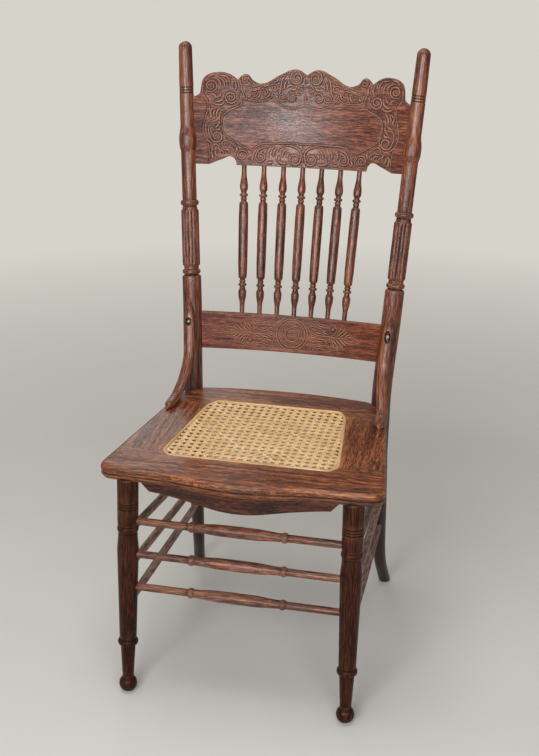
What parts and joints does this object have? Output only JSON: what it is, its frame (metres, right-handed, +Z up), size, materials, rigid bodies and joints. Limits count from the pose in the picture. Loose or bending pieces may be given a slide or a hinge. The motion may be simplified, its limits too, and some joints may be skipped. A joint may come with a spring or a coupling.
{
  "type": "pressed back side chair",
  "caption": "Oak side chair with a pressed, scrolled crest rail, turned spindles and legs, bent hip brackets and a woven cane seat in a serpentine frame.",
  "frame": {"origin": "on the floor, under the middle of the chair's bounding box", "axes": "+Z up, -Y towards the front of the chair, +X to the right as seen from the front"},
  "size_m": [0.505, 0.6243, 1.1002],
  "materials": {
    "post_oak": "red-brown stained oak, glossy old varnish",
    "rail_oak": "red-brown stained oak, pressed and varnished",
    "seat_oak": "dark red-brown stained oak, varnished",
    "leg_oak": "dark brown stained oak, varnished",
    "stretcher_oak": "brown stained oak, varnished, a little worn",
    "worn_oak": "grey-brown worn oak, mostly matt",
    "hidden_oak": "bare wood, out of sight",
    "cane": "straw-coloured woven cane, satin",
    "screw_steel": "bright steel"
  },
  "bodies": {
    "root": {"rear_post_left": "post_oak", "rear_post_right": "post_oak", "crest_rail": "rail_oak", "lower_back_rail": "rail_oak", "back_spindle_1": "post_oak", "back_spindle_2": "post_oak", "back_spindle_3": "post_oak", "back_spindle_4": "post_oak", "back_spindle_5": "post_oak", "back_spindle_6": "post_oak", "back_spindle_7": "post_oak", "seat_front_rail": "seat_oak", "seat_rear_rail": "seat_oak", "seat_side_rail_left": "seat_oak", "seat_side_rail_right": "seat_oak", "seat_dowel_front_left_1": "hidden_oak", "seat_dowel_front_left_2": "hidden_oak", "seat_dowel_front_right_1": "hidden_oak", "seat_dowel_front_right_2": "hidden_oak", "seat_dowel_rear_left_1": "hidden_oak", "seat_dowel_rear_left_2": "hidden_oak", "seat_dowel_rear_right_1": "hidden_oak", "seat_dowel_rear_right_2": "hidden_oak", "cane_panel": "cane", "cane_spline": "cane", "front_apron": "seat_oak", "apron_block_left": "hidden_oak", "apron_block_right": "hidden_oak", "front_leg_left": "leg_oak", "front_leg_right": "leg_oak", "front_stretcher_upper": "stretcher_oak", "front_stretcher_middle": "stretcher_oak", "front_stretcher_lower": "stretcher_oak", "side_stretcher_left_upper": "worn_oak", "side_stretcher_left_middle": "worn_oak", "side_stretcher_left_lower": "worn_oak", "side_stretcher_right_upper": "worn_oak", "side_stretcher_right_middle": "worn_oak", "side_stretcher_right_lower": "worn_oak", "rear_stretcher": "stretcher_oak", "hip_bracket_left": "post_oak", "hip_bracket_right": "post_oak", "bracket_screw_upper_left": "screw_steel", "bracket_screw_upper_right": "screw_steel", "bracket_screw_lower_left": "screw_steel", "bracket_screw_lower_right": "screw_steel", "seat_post_screw_left": "screw_steel", "seat_post_screw_right": "screw_steel"}
  },
  "joints": []
}
